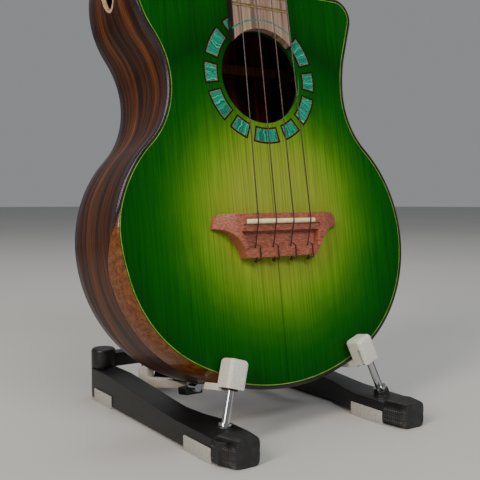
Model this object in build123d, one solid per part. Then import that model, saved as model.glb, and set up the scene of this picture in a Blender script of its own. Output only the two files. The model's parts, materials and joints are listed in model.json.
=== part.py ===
from build123d import *
from math import acos, asin, atan2, cos, degrees, hypot, radians, sin, tan
import os

# A tenor cutaway ukulele resting on a small folding floor stand. Millimetres, +Z up, front faces -Y.
# The origin is on the floor, midway between the ends of the legs and on the ukulele's centre line.

# ---------------------------------------------------------------- driving dimensions
LEAN = 9.0  # degrees that the ukulele leans back
HOLE_Y, HOLE_Z = -20.5, 231.0  # centre of the soundhole on the top, in the part's frame

SCALE = 432.0  # saddle to nut
SADDLE_Y = -98.0  # ukulele frame: x to the treble side, y up the neck, z out of the top
NUT_Y = SADDLE_Y + SCALE
TAIL_Y = -206.4
LOWER_HALF = 115.6
WAIST_HALF, WAIST_Y = 72.2, -8.0
UPPER_HALF, UPPER_Y = 92.0, 56.0
HORN_HALF, HORN_TOP = 85.9, 64.8  # the cutaway's horn: how far out, and its flat upper edge
JOINT_Y = 98.0  # where the neck meets the body
HEEL_HALF = 24.0

TOP_THICK = 2.5
SIDE_THICK = 2.3
BINDING_DEEP = 5.0
PURFLING_WIDE = 1.2
BODY_DEEP = 70.5  # top to back at the middle
BACK_RADIUS = 1150.0  # the back is a shallow dome
BACK_THICK = 2.2
LINING_WIDE, LINING_TALL = 5.7, 7.5
HOLE_R = 31.0
GAP = 0.3  # air between bodies that rest on each other

FRETBOARD_THICK = 5.6
FRET_COUNT = 19
FRET_HIGH = 1.0
STRING_R = 0.42
WRAP_R = 3.45  # of the string's turn around its post
STRING_AT_SADDLE = (-21.3, -7.1, 7.1, 21.3)
STRING_AT_NUT = (-14.75, -4.9, 4.9, 14.75)
SADDLE_TOP = 11.3
HEAD_TILT = 12.0
HEAD_THICK = 13.0
VENEER_THICK = 2.0
POSTS = ((-19.0, 40.0), (-19.0, 88.0), (19.0, 88.0), (19.0, 40.0))  # on the head, string by string

STAND_X = 2.5  # the stand's centre line is this far to the treble side of the ukulele's
LEG_X = 70.5
LEG_WIDE = 18.0
LEG_LONG = 195.0
HINGE_Y = 88.5
HOOK_X = 53.5
BAR_LOW, BAR_TALL, BAR_DEEP = 23.5, 10.0, 12.0

FAR = 400.0  # larger than anything that is cut
UKE = Location((0, HOLE_Y, HOLE_Z), (90 - LEAN, 0, 0))
HEAD = Location((0, NUT_Y + 5, 2.0), (-HEAD_TILT, 0, 0))

os.makedirs("parts", exist_ok=True)


# ---------------------------------------------------------------- helpers
def save(name, shapes, place=Location()):
    solids = []
    for shape in shapes if isinstance(shapes, (list, tuple)) else [shapes]:
        solids += (place * shape).solids()
    export_step(Compound(children=solids), f"parts/{name}.step")


def slab(face, low, high):
    """A flat face in the plane of the top, made solid from one height to another."""
    return Pos(0, 0, low) * extrude(face, high - low)


def block(x0, x1, y0, y1, z0, z1):
    return Pos((x0 + x1) / 2, (y0 + y1) / 2, (z0 + z1) / 2) * Box(x1 - x0, y1 - y0, z1 - z0)


def rod(start, end, radius):
    """A round bar between two points."""
    line = Edge.make_line(Vector(*start), Vector(*end))
    return Solid.extrude(Face(Wire([Edge.make_circle(radius, Plane(start, z_dir=line % 0))])), line @ 1 - line @ 0)


def tube(low, high, outer, inner, x=0, y=0):
    ring = Circle(outer) - Circle(inner)
    return Pos(x, y, low) * extrude(ring, high - low)


# ---------------------------------------------------------------- body outline
# Tangent arcs, as on a maker's template. The angles where two arcs meet follow from their radii.
TAIL_R, BOUT_R, SHOULDER_R, FLANK_R, HORN_R = 143.0, 89.0, 32.0, 95.8, 14.3
tail_turn = degrees(asin((LOWER_HALF - BOUT_R) / (TAIL_R - BOUT_R)))
bout_y = TAIL_Y + TAIL_R - (TAIL_R - BOUT_R) * cos(radians(tail_turn))
waist_in = WAIST_HALF - (LOWER_HALF - BOUT_R)
waist_up = WAIST_Y - bout_y
WAIST_R = (waist_up**2 + waist_in**2 - BOUT_R**2) / (2 * (BOUT_R - waist_in))
lower_turn = degrees(atan2(waist_up, waist_in + WAIST_R))
upper_out = WAIST_HALF + WAIST_R - UPPER_HALF
upper_up = UPPER_Y - WAIST_Y
UPPER_R = (upper_out**2 + upper_up**2 - WAIST_R**2) / (2 * (WAIST_R - upper_out))
upper_turn = degrees(atan2(upper_up, upper_out + UPPER_R))
shoulder_turn = degrees(asin((JOINT_Y - SHOULDER_R - UPPER_Y) / (UPPER_R - SHOULDER_R)))
horn_x, horn_y = HORN_HALF - HORN_R, HORN_TOP - HORN_R
flank_across, flank_up = FLANK_R + WAIST_HALF - horn_x, horn_y - WAIST_Y
flank_turn = degrees(atan2(flank_up, flank_across) - acos((FLANK_R + HORN_R) / hypot(flank_across, flank_up)))


def chain(start, heading, turns):
    """Arcs end to end, each leaving along the last: a list of (radius, turn), left turns positive."""
    edges, point = [], start
    for radius, turn in turns:
        tangent = (cos(radians(heading)), sin(radians(heading)))
        edges.append(JernArc(point, tangent, radius, turn))
        point = edges[-1] @ 1
        heading += turn
    return edges


def outline():
    lower = [(TAIL_R, tail_turn), (BOUT_R, 90 - tail_turn + lower_turn)]
    bass = [(radius, -turn) for radius, turn in lower]
    bass += [(WAIST_R, lower_turn + upper_turn), (UPPER_R, -upper_turn - shoulder_turn)]
    bass += [(SHOULDER_R, shoulder_turn - 90)]
    treble = lower + [(WAIST_R, -lower_turn), (FLANK_R, -flank_turn)]
    edges = chain((0, TAIL_Y), 180, bass)
    flank = chain((0, TAIL_Y), 0, treble)
    horn_start = (horn_x + HORN_R * cos(radians(flank_turn)), horn_y - HORN_R * sin(radians(flank_turn)))
    horn = chain(horn_start, 90 - flank_turn, [(HORN_R, 90 + flank_turn)])
    cut_r = JOINT_Y - HORN_TOP
    cut_start = (HEEL_HALF + cut_r, HORN_TOP)
    cut = chain(cut_start, 180, [(cut_r, -90)])
    lines = [
        Line(edges[-1] @ 1, (-HEEL_HALF, JOINT_Y)),
        Line((-HEEL_HALF, JOINT_Y), cut[0] @ 1),
        Line(flank[-1] @ 1, horn_start),
        Line(horn[0] @ 1, cut_start),
    ]
    return make_face(Wire(Curve(children=edges + flank + horn + cut + lines).edges()))


BODY = outline()


def inside(distance):
    return BODY if distance == 0 else offset(BODY, -distance)


def ring(outer, inner):
    return inside(outer) - inside(inner)


def dome(inset):
    """Everything in front of a surface that lies this far inside the domed back."""
    ball = Sphere(BACK_RADIUS - inset, rotation=(0, -90, 0))
    return Pos(0, -15, BACK_RADIUS - BODY_DEEP) * ball


ARMREST_WIDE, ARMREST_DEEP = 5.2, 16.0
ARM_AREA = make_face(Polyline((-140, -86), (-60, -86), (-40, -150), (-14, -180), (-14, -230), (-140, -230), close=True))
armrest_volume = slab(ring(-1, ARMREST_WIDE) & ARM_AREA, -ARMREST_DEEP, 1)
armrest = slab(ring(0, ARMREST_WIDE) & ARM_AREA, -ARMREST_DEEP, 0)

# ---------------------------------------------------------------- sides, back, edges
side_ring = slab(ring(0, SIDE_THICK), -90, -BINDING_DEEP) & dome(BINDING_DEEP)
side_ring -= armrest_volume
PORT = Location((-62, 64.3, -33.3), (0, -90, 0))  # on the bass shoulder, facing the player
PORT_HALF_WIDE, PORT_HALF_LONG, PORT_RIM = 8.8, 18.2, 1.8
port_hole = PORT * extrude(Ellipse(PORT_HALF_WIDE, PORT_HALF_LONG), 60)
port_rim_hole = PORT * extrude(Ellipse(PORT_HALF_WIDE + PORT_RIM, PORT_HALF_LONG + PORT_RIM), 60)
bass_half = block(-FAR, 0, -FAR, FAR, -FAR, FAR)
side_bass = (side_ring & bass_half) - port_rim_hole
side_treble = side_ring - bass_half
port_ring = side_ring & (port_rim_hole - port_hole)
top_binding = slab(ring(0, SIDE_THICK), -BINDING_DEEP, 0) - armrest_volume
top_purfling = slab(ring(SIDE_THICK, SIDE_THICK + PURFLING_WIDE), -TOP_THICK, 0) - armrest_volume
back_plate = (slab(inside(SIDE_THICK), -90, -40) & dome(0)) - dome(BACK_THICK)
back_binding = (slab(ring(0, SIDE_THICK), -90, -40) & dome(0)) - dome(BINDING_DEEP)

# ---------------------------------------------------------------- soundboard and rosette
ROSETTE_IN, ROSETTE_OUT, TILE_DEEP = 34.7, 44.8, 1.2
TILE_ANGLES = {-240: 18.5, -210: 27, -180: 18.5, -150: 27, -120: 18.5, -90: 27}
TILE_ANGLES |= {-60: 18.5, -30: 27, 0: 18.5, 30: 27, 60: 18.5}


def tile(angle, span):
    corners = [(ROSETTE_OUT + 9, -tan(radians(span / 2)) * (ROSETTE_OUT + 9))]
    corners += [(0, 0), (ROSETTE_OUT + 9, tan(radians(span / 2)) * (ROSETTE_OUT + 9))]
    wedge = make_face(Polyline(*corners, close=True))
    band = Circle(ROSETTE_OUT) - Circle(ROSETTE_IN)
    return slab(Rot(0, 0, angle) * (band & wedge), -TILE_DEEP, 0)


tiles = [tile(angle, span) for angle, span in TILE_ANGLES.items()]
hole = Cylinder(HOLE_R, 60)
soundboard = slab(inside(SIDE_THICK + PURFLING_WIDE), -TOP_THICK, 0) - hole - armrest_volume
for piece in tiles:
    soundboard -= piece

# ---------------------------------------------------------------- inside the body
BLOCK_LONG = 30.0
inner_space = slab(inside(SIDE_THICK), -90, -TOP_THICK) & dome(BACK_THICK)
neck_block = inner_space & block(-32, 30, JOINT_Y - BLOCK_LONG, JOINT_Y, -90, 0)
tail_block = (inner_space & block(-30, 30, TAIL_Y, TAIL_Y + 16, -90, 0)) - armrest_volume
lining_ring = slab(ring(SIDE_THICK, SIDE_THICK + LINING_WIDE), -90, -TOP_THICK)
lining_ring = lining_ring - neck_block - tail_block - armrest_volume - port_rim_hole
top_lining = lining_ring & block(-FAR, FAR, -FAR, FAR, -TOP_THICK - LINING_TALL, 0)
back_lining = (lining_ring & dome(BACK_THICK)) - dome(BACK_THICK + LINING_TALL)
open_space = slab(inside(SIDE_THICK + LINING_WIDE), -90, -TOP_THICK) & dome(BACK_THICK)

BRACE_WIDE = 7.0
bridge_plate = block(-52, 52, -127, -88, -TOP_THICK - 2.2, -TOP_THICK)
top_braces = []
for brace_y in (48.0, -46.0):
    top_braces.append(open_space & block(-FAR, FAR, brace_y, brace_y + BRACE_WIDE, -TOP_THICK - 12, 0))
for fan in (-14, 0, 14):
    bar = Pos(fan * 2.2, -117, 0) * Rot(0, 0, -fan * 0.9) * block(-3, 3, -70, 60, -TOP_THICK - 8, 0)
    bar = (bar & open_space & block(-FAR, FAR, -186, -47, -40, 0)) - bridge_plate
    top_braces.append(bar)
back_braces = []
for brace_y in (20.0, -62.0, -134.0):
    bar = open_space & block(-FAR, FAR, brace_y, brace_y + BRACE_WIDE, -90, -30)
    back_braces.append(bar - dome(BACK_THICK + 11))

# ---------------------------------------------------------------- bridge and saddle
BRIDGE_HIGH, WING_HIGH = 9.5, 2.8
bridge_edge = [
    Line((-46, -92.7), (46, -92.7)),
    Spline((46, -92.7), (50.4, -101.7), tangents=[(1, -0.5), (0.1, -1)]),
    Spline((50.4, -101.7), (36, -107), (28.2, -121), tangents=[(-1, 0), (-0.25, -1)]),
    Line((28.2, -121), (-29.4, -121)),
    Spline((-29.4, -121), (-37, -107), (-50.4, -101.7), tangents=[(-0.25, 1), (-1, 0)]),
    Spline((-50.4, -101.7), (-46, -92.7), tangents=[(0.1, 1), (1, 0.5)]),
]
bridge_side = [
    Line((-52, 0), (52, 0)),
    Line((52, 0), (52, WING_HIGH)),
    Spline((52, WING_HIGH), (32, BRIDGE_HIGH), tangents=[(-1, 0.1), (-1, 0)]),
    Line((32, BRIDGE_HIGH), (-32, BRIDGE_HIGH)),
    Spline((-32, BRIDGE_HIGH), (-52, WING_HIGH), tangents=[(-1, 0), (-1, -0.1)]),
    Line((-52, WING_HIGH), (-52, 0)),
]
bridge = slab(make_face(Wire(Curve(children=bridge_edge).edges())), 0, BRIDGE_HIGH)
side_view = make_face(Wire(Curve(children=bridge_side).edges()))
bridge &= Pos(0, -60, 0) * Rot(90, 0, 0) * extrude(side_view, 90)
SLOT_HALF, TIE_LOW = 31.0, 4.2
HOLE_HIGH = 6.0
saddle = block(-28.5, 26, -99.5, -96.5, 4.5, SADDLE_TOP)
bridge -= block(-28.5, 26, -99.5, -96.5, 4.5, 20)
recess = make_face(Polyline((-33, -104), (29.5, -104), (27.2, -115), (-28.2, -115), close=True))
bridge -= slab(recess, TIE_LOW, 20)
bridge -= block(-SLOT_HALF, SLOT_HALF, -122, -114.9, 8.2, 20)
bridge -= block(-SLOT_HALF, SLOT_HALF, -104.1, -99.5, 8.4, 20)
for x in STRING_AT_SADDLE:
    bridge -= rod((x, -110, HOLE_HIGH), (x, -125, HOLE_HIGH), 1.0)
saddle = fillet(saddle.edges().filter_by(Axis.X).group_by(Axis.Z)[-1], 1.3)

# ---------------------------------------------------------------- fretboard, frets, nut
NUT_HALF, BOARD_END_HALF = 18.0, 23.5
BOARD_END_Y = 18.0


def board_half(y):
    return BOARD_END_HALF + (NUT_HALF - BOARD_END_HALF) * (y - BOARD_END_Y) / (NUT_Y - BOARD_END_Y)


board_corners = [(-BOARD_END_HALF, BOARD_END_Y), (BOARD_END_HALF, BOARD_END_Y), (NUT_HALF, NUT_Y), (-NUT_HALF, NUT_Y)]
board_face = make_face(Polyline(*board_corners, close=True)) - Circle(HOLE_R + 0.5)
INLAY_R, INLAY_WIDE = 37.4, 1.0
inlay_band = (Circle(INLAY_R + INLAY_WIDE / 2) - Circle(INLAY_R - INLAY_WIDE / 2)) & board_face
fretboard_inlay = slab(inlay_band, FRETBOARD_THICK - 1, FRETBOARD_THICK)
fretboard = slab(board_face, 0, FRETBOARD_THICK) - fretboard_inlay
frets = []
for number in range(1, FRET_COUNT + 1):
    fret_y = NUT_Y - SCALE * (1 - 2 ** (-number / 12))
    half = board_half(fret_y) - 0.4
    wire = Rot(0, 90, 0) * Cylinder(1.1, 2 * half) & block(-half, half, -3, 3, 0, 3)
    frets.append(Pos(0, fret_y, FRETBOARD_THICK) * scale(wire, (1, 1, FRET_HIGH / 1.1)))
nut = block(-NUT_HALF, NUT_HALF, NUT_Y, NUT_Y + 5, 0, FRETBOARD_THICK + 2.2)
NUT_STRING = FRETBOARD_THICK + 1.7
for x in STRING_AT_NUT:
    nut -= block(x - 1.4, x + 1.4, NUT_Y - 1, NUT_Y + 6, NUT_STRING - 1.2, 20)

# ---------------------------------------------------------------- neck, heel and headstock
def neck_section(y, half, deep):
    lines = [Line((-half, 0), (half, 0)), ThreePointArc((half, 0), (0, -deep), (-half, 0))]
    return Pos(0, y, 0) * Rot(90, 0, 0) * make_face(Wire(Curve(children=lines).edges()))


def heel_section(z, half, deep):
    lines = [Line((-half, 0), (half, 0)), ThreePointArc((half, 0), (0, deep), (-half, 0))]
    return Pos(0, JOINT_Y, z) * make_face(Wire(Curve(children=lines).edges()))


HEEL_LOW = -60.0
neck = loft([neck_section(JOINT_Y, 21.5, 17), neck_section(NUT_Y + 9, NUT_HALF, 13)])
neck += loft([heel_section(0, 21.5, 20), heel_section(-18, 19.5, 19), heel_section(HEEL_LOW, 11, 10)])
heel_cap = slab(heel_section(0, 11, 10), HEEL_LOW - 2.5, HEEL_LOW)
head_edge = [(-NUT_HALF, 0), (NUT_HALF, 0), (27, 20), (29.5, 60), (30.5, 112), (16, 130), (-16, 130)]
head_edge += [(-30.5, 112), (-29.5, 60), (-27, 20)]
head_face = make_face(Polyline(*head_edge, close=True))
head_face = fillet(head_face.vertices().filter_by_position(Axis.Y, 5, 200), 7)
headstock = HEAD * slab(head_face, -VENEER_THICK - HEAD_THICK, -VENEER_THICK)
veneer = HEAD * slab(head_face, -VENEER_THICK, 0)
POST_R, BUSH_R = 3.0, 4.6
for u, v in POSTS:
    headstock -= HEAD * Pos(u, v, 0) * Cylinder(POST_R + 0.3, 80)
    veneer -= HEAD * Pos(u, v, 0) * Cylinder(BUSH_R, 80)
    headstock -= HEAD * Pos(u, v, -VENEER_THICK) * Cylinder(BUSH_R, 8)
veneer -= nut
neck += headstock
neck -= veneer
neck -= block(-30, 30, NUT_Y - 20, NUT_Y + 5, 0, 20)
neck -= block(-30, 30, 0, JOINT_Y, -90, 20)

# ---------------------------------------------------------------- tuners
CASE_TOP = -VENEER_THICK - HEAD_THICK
CASE_DEEP = 9.5
WORM_V = 7.4  # from the post's axis to the worm's
WORM_Z = CASE_TOP - 4.5
tuner_cases, tuner_bushes, tuner_screws = [], [], []


def at_post(index, shape):
    u, v = POSTS[index]
    return HEAD * Pos(u, v, 0) * (Rot(0, 0, 180) * shape if u < 0 else shape)


for index in range(4):
    case = block(-8.5, 8.5, -8.5, 12.5, CASE_TOP - CASE_DEEP, CASE_TOP)
    case = fillet(case.edges().filter_by(Axis.Z), 3)
    case -= block(-6.7, 6.7, -6.7, 10.7, CASE_TOP - CASE_DEEP + 1.5, CASE_TOP)
    case += block(-3, 3, -13.5, -8, CASE_TOP - 2, CASE_TOP)
    case -= rod((0, WORM_V, WORM_Z), (30, WORM_V, WORM_Z), 1.7)
    case -= Pos(0, -11, CASE_TOP) * Cylinder(1.1, 20)
    tuner_cases.append(at_post(index, case))
    bush = tube(-VENEER_THICK - 4, 0, BUSH_R, POST_R + 0.05)
    bush += tube(0, 1.2, 5.8, POST_R + 0.05)
    tuner_bushes.append(at_post(index, bush))
    screw = Pos(0, -11, CASE_TOP - 2.6) * Cylinder(2.0, 1.2) + Pos(0, -11, CASE_TOP - 1) * Cylinder(1.1, 2)
    screw += Pos(0, -11, CASE_TOP + 3) * Cylinder(0.9, 6)
    tuner_screws.append(at_post(index, screw))
    neck -= at_post(index, Pos(0, -11, CASE_TOP + 3) * Cylinder(0.9, 6.2))


WHEEL_R, WORM_R, SHAFT_R = 5.1, 2.2, 1.65
for index in range(4):
    post = Pos(0, 0, -5) * Cylinder(POST_R, 34)
    post -= rod((-9, 0, 8), (9, 0, 8), 0.8)
    wheel = tube(WORM_Z - 2, WORM_Z + 2, WHEEL_R, POST_R)
    save(f"string_post_{index + 1}", [at_post(index, post), at_post(index, wheel)], UKE)
    shaft = rod((-6, WORM_V, WORM_Z), (20, WORM_V, WORM_Z), SHAFT_R)
    worm = rod((-5, WORM_V, WORM_Z), (5, WORM_V, WORM_Z), WORM_R) - shaft
    button = Pos(25, WORM_V, WORM_Z) * Rot(90, 0, 0) * extrude(Ellipse(7.5, 7), 2.6, both=True)
    button = fillet(button.edges().filter_by(GeomType.ELLIPSE), 0.9) - shaft
    save(f"tuner_button_{index + 1}", [at_post(index, piece) for piece in (shaft, worm, button)], UKE)

# ---------------------------------------------------------------- strings
WRAP_Z = 4.5
strings = []
for index in range(4):
    x, nut_x = STRING_AT_SADDLE[index], STRING_AT_NUT[index]
    u, v = POSTS[index]
    inner_u = u - (WRAP_R + 0.1) * (1 if u > 0 else -1)
    wrap_point = (HEAD * Pos(inner_u, v, WRAP_Z)).position
    path = [
        tuple(wrap_point),
        (nut_x, NUT_Y + 2.5, NUT_STRING),
        (x, SADDLE_Y, SADDLE_TOP + STRING_R + 0.25),
        (x, -114.4, HOLE_HIGH),
        (x, -122.7, HOLE_HIGH),
        (x + 1.6, -122.6, 9.1),
        (x + 1.6, -114, 9.1),
        (x + 0.6, -112.6, 7.4),
    ]
    string = rod(path[0], path[1], STRING_R)
    for start, end in zip(path[1:], path[2:]):
        string += rod(start, end, STRING_R) + Pos(*start) * Sphere(STRING_R)
    string += Pos(x + 0.2, -123.1, 4.9) * Sphere(1.1)
    string += HEAD * Pos(u, v, WRAP_Z) * Torus(WRAP_R, STRING_R)
    strings.append(string)

ukulele = {
    "soundboard": soundboard, "rosette_tiles": tiles, "back_plate": back_plate, "side_bass": side_bass,
    "side_treble": side_treble, "armrest_bevel": armrest, "top_binding": top_binding,
    "top_purfling": top_purfling, "back_binding": back_binding, "sound_port_ring": port_ring,
    "linings": [top_lining, back_lining], "neck_block": neck_block, "tail_block": tail_block,
    "soundboard_braces": top_braces, "back_braces": back_braces, "bridge_plate": bridge_plate,
    "bridge": bridge, "saddle": saddle, "strings": strings, "fretboard": fretboard,
    "fretboard_inlay": fretboard_inlay, "frets": frets, "nut": nut, "neck": neck, "heel_cap": heel_cap,
    "headstock_veneer": veneer, "tuner_cases": tuner_cases, "tuner_bushes": tuner_bushes,
    "tuner_screws": tuner_screws,
}
for name, shapes in ukulele.items():
    save(name, shapes, UKE)

# ---------------------------------------------------------------- stand: legs
PAD_THICK, PAD_TALL = 1.5, 9.0
GRIP_Y = -81.0
LEG_FRONT = -LEG_LONG / 2
PIN_R, FIT = 3.0, 0.05
PAD_SPANS = ((-80.5, -50.0), (54.0, 83.0))
TO_STAND = Pos(STAND_X, 0, 0)


def leg_plan(grow, front):
    """Plan of a left leg about its own centre: straight outside, flared towards the inside in front."""
    wide = LEG_WIDE / 2 + grow
    corners = [(wide, HINGE_Y), (wide, -20), (16.5 + grow, -52), (16.5 + grow, -80), (13 + grow, front)]
    corners += [(-wide + 5, front), (-wide, front + 7), (-wide, HINGE_Y)]
    return make_face(Polyline(*corners, close=True)) + Pos(0, HINGE_Y) * Circle(wide)


leg_side = make_face(
    Polyline((-120, PAD_THICK), (120, PAD_THICK), (120, 22.5), (60, 22.5), (-36, 15), (-120, 14.5), close=True)
)
leg_prism = Pos(-LEG_X, 0, 0) * slab(leg_plan(0, LEG_FRONT + 3), 0, 30)
leg_core = leg_prism & extrude(Plane.YZ * leg_side, FAR, both=True)
grip = Pos(-LEG_X, 0, 0) * slab(leg_plan(1.2, LEG_FRONT), 0, 16.5)
grip = (grip & block(-FAR, 0, -FAR, GRIP_Y, 0, 40)) - leg_core
pads = []
for low, high in PAD_SPANS:
    pad = Pos(-LEG_X, 0, 0) * slab(leg_plan(1.2, LEG_FRONT), 0, PAD_TALL)
    pads.append((pad & block(-FAR, 0, low, high, 0, 40)) - leg_core)
leg_core -= Pos(-LEG_X, HINGE_Y, 3) * extrude(Circle(PIN_R + FIT), 30)

# ---------------------------------------------------------------- stand: hooks on swivelling rods
HOOK_HALF, HOOK_TOP, HOOK_LOW = 6.6, 15.5, -4.5
WALL_BACK, WALL_FRONT, WALL_LOW = 3.2, 17.0, -2.4  # the cover's upright part, in front of the top
LEDGE_BACK = -10.0
ROD_Z, ROD_R = 10.5, 2.6
BOSS_N, SOCKET_N = -25.0, -33.0  # along the rod: the boss's upper face and the bore's end
COLLAR_R, CLEAR_LONG = 4.4, 14.0
HOOKS = {"left": (-51.0, -197.05, -17.0), "right": (59.0, -193.75, 20.5)}
ROD_ASIDE = {"left": 0.0, "right": 2.0}  # the rod is a little off the middle of its hook


def hook_pieces(side):
    """The frame's x runs along the body's edge, y into the body, z out of the top."""
    x, y, turn = HOOKS[side]
    frame = UKE * Location((x, y, 0), (0, 0, turn))
    inward = 1 if side == "left" else -1
    cover = block(-HOOK_HALF, HOOK_HALF, WALL_LOW, HOOK_TOP, WALL_BACK, WALL_FRONT)
    cover = fillet(cover.edges().filter_by(Axis.X).group_by(Axis.Y)[-1], 3)
    cover = fillet(cover.edges().filter_by(Axis.Z).group_by(Axis.Y)[-1], 2.5)
    cover += block(-HOOK_HALF, HOOK_HALF, HOOK_LOW, -GAP - 0.1, LEDGE_BACK, WALL_BACK + 3)
    slot_low, slot_high = sorted((inward * (HOOK_HALF + 1), inward * (HOOK_HALF - 2.4)))
    cover -= block(slot_low, slot_high, HOOK_LOW - 1, 9, 12.4, 14.8)
    aside = ROD_ASIDE[side]
    hook_rod = rod((aside, 2, ROD_Z), (aside, SOCKET_N, ROD_Z), ROD_R)
    core = block(-4, 4, -3.6, 12.5, ROD_Z - 1.6, ROD_Z + 1.6) + block(-4, 4, -3.6, -2, -9, ROD_Z)
    core += rod((aside, -3.6, ROD_Z), (aside, 4, ROD_Z), 4.2)
    core -= hook_rod
    cover = cover - core - hook_rod
    collar = rod((aside, BOSS_N + GAP, ROD_Z), (aside, BOSS_N + GAP + 1.8, ROD_Z), COLLAR_R) - hook_rod
    boss = rod((aside, BOSS_N, ROD_Z), (aside, SOCKET_N, ROD_Z), 5.2)
    bore = rod((aside, BOSS_N + CLEAR_LONG, ROD_Z), (aside, SOCKET_N - GAP, ROD_Z), ROD_R + FIT)
    bore += rod((aside, BOSS_N + CLEAR_LONG, ROD_Z), (aside, BOSS_N, ROD_Z), COLLAR_R + 2 * GAP)
    return {key: frame * piece for key, piece in
            dict(cover=cover, rod=hook_rod, core=core, collar=collar, boss=boss, bore=bore).items()}


for side in ("left", "right"):
    hook = hook_pieces(side)
    place = [TO_STAND * (piece if side == "left" else mirror(piece, Plane.YZ)) for piece in (leg_core, grip, *pads)]
    floor_cut = block(-FAR, FAR, -FAR, FAR, -20, PAD_THICK)
    leg = place[0] + (hook["boss"] - floor_cut) - hook["bore"]
    save(f"{side}_leg", leg)
    save(f"{side}_leg_grip", place[1] - leg)
    save(f"{side}_foot_pads", [pad - leg for pad in place[2:]])
    save(f"{side}_hook_rod", hook["rod"])
    save(f"{side}_rod_collar", hook["collar"])
    save(f"{side}_hook_core", hook["core"])
    save(f"{side}_hook_cover", hook["cover"])

# ---------------------------------------------------------------- stand: crossbar, pins, rear loops
BAR_TOP = BAR_LOW + BAR_TALL
REST_Z, REST_PIN_R = 40.0, 2.5
crossbar = block(-LEG_X, LEG_X, HINGE_Y - BAR_DEEP / 2, HINGE_Y + BAR_DEEP / 2, BAR_LOW, BAR_TOP)
pins, caps = [], []
for x in (-LEG_X, LEG_X):
    crossbar += tube(BAR_LOW, BAR_TOP, LEG_WIDE / 2, 0.5, x, HINGE_Y)
    pins.append(Pos(x, HINGE_Y, (4 + BAR_TOP) / 2) * Cylinder(PIN_R, BAR_TOP - 4))
    cap = Pos(x, HINGE_Y, BAR_TOP + 2) * Cylinder(LEG_WIDE / 2, 4)
    caps.append(fillet(cap.edges().group_by(Axis.Z)[-1], 2.5))
for x0 in (-10.5, 6.5):
    crossbar += block(x0, x0 + 4, HINGE_Y - 5, HINGE_Y + 5, BAR_TOP - 1, REST_Z + 5)
rest_pin = rod((-10.5, HINGE_Y, REST_Z), (10.5, HINGE_Y, REST_Z), REST_PIN_R)
pins.append(rest_pin)
for pin in pins:
    crossbar -= pin

LOOP_IN, LOOP_WIDE = 37.5, 6.0
LOOP_FRONT = -61.5
loop_edge = [(-204.4, LOOP_FRONT), (-196.3, LOOP_FRONT), (-187.4, -114.5), (-192.9, -137.5), (-208.4, -140.3)]
loop_hole = [(-198.3, -70.5), (-191.7, -117), (-193.4, -122.4), (-199.6, -124)]
loop_face = make_face(Polyline(*loop_edge, close=True)) - make_face(Polyline(*loop_hole, close=True))
loop = UKE * Pos(-LOOP_IN, 0, 0) * extrude(Plane.YZ * loop_face, -LOOP_WIDE)
bracket = block(-LOOP_IN, -LOOP_IN + 4, 78, HINGE_Y + 3, 6, BAR_LOW)
nose_block = UKE * block(-51.5, -38.5, -207.5, -202.3, LOOP_FRONT, -50)
nose = UKE * rod((-47.5, -202.4, -50), (-47.5, -202.4, -40), 2.6)


def both(piece):
    return [piece, mirror(piece, Plane.YZ)]


save("rear_crossbar", crossbar, TO_STAND)
save("hinge_pins", pins, TO_STAND)
save("hinge_caps", caps, TO_STAND)
save("rear_loops", both(loop), TO_STAND)
save("loop_brackets", both(bracket), TO_STAND)
save("nose_blocks", both(nose_block), TO_STAND)
save("chrome_noses", both(nose), TO_STAND)

# ---------------------------------------------------------------- stand: folding back rest
YOKE_Y, YOKE_Z, YOKE_HALF, ARM_R = -75.0, -81.4, 34.0, 5.0
yoke_centre = (UKE * Pos(0, YOKE_Y, YOKE_Z)).position
yoke = UKE * rod((-YOKE_HALF, YOKE_Y, YOKE_Z), (YOKE_HALF, YOKE_Y, YOKE_Z), ARM_R)
arm = rod((0, HINGE_Y, REST_Z), tuple(yoke_centre), ARM_R - 0.4)
arm += rod((-6.2, HINGE_Y, REST_Z), (6.2, HINGE_Y, REST_Z), 6) + yoke
arm -= rod((-7, HINGE_Y, REST_Z), (7, HINGE_Y, REST_Z), REST_PIN_R + FIT)
rest_pads = []
for x0 in (-38.0, 14.0):
    rest_pad = fillet(block(x0, x0 + 24, YOKE_Y - 13, YOKE_Y + 13, -79.4, -70.4).edges().filter_by(Axis.Z), 5)
    rest_pads.append(UKE * rest_pad - yoke)
save("back_rest_arm", arm, TO_STAND)
save("back_rest_pads", rest_pads, TO_STAND)
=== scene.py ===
import bmesh
import bpy
import json
import math
from mathutils import Matrix, Vector

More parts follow.
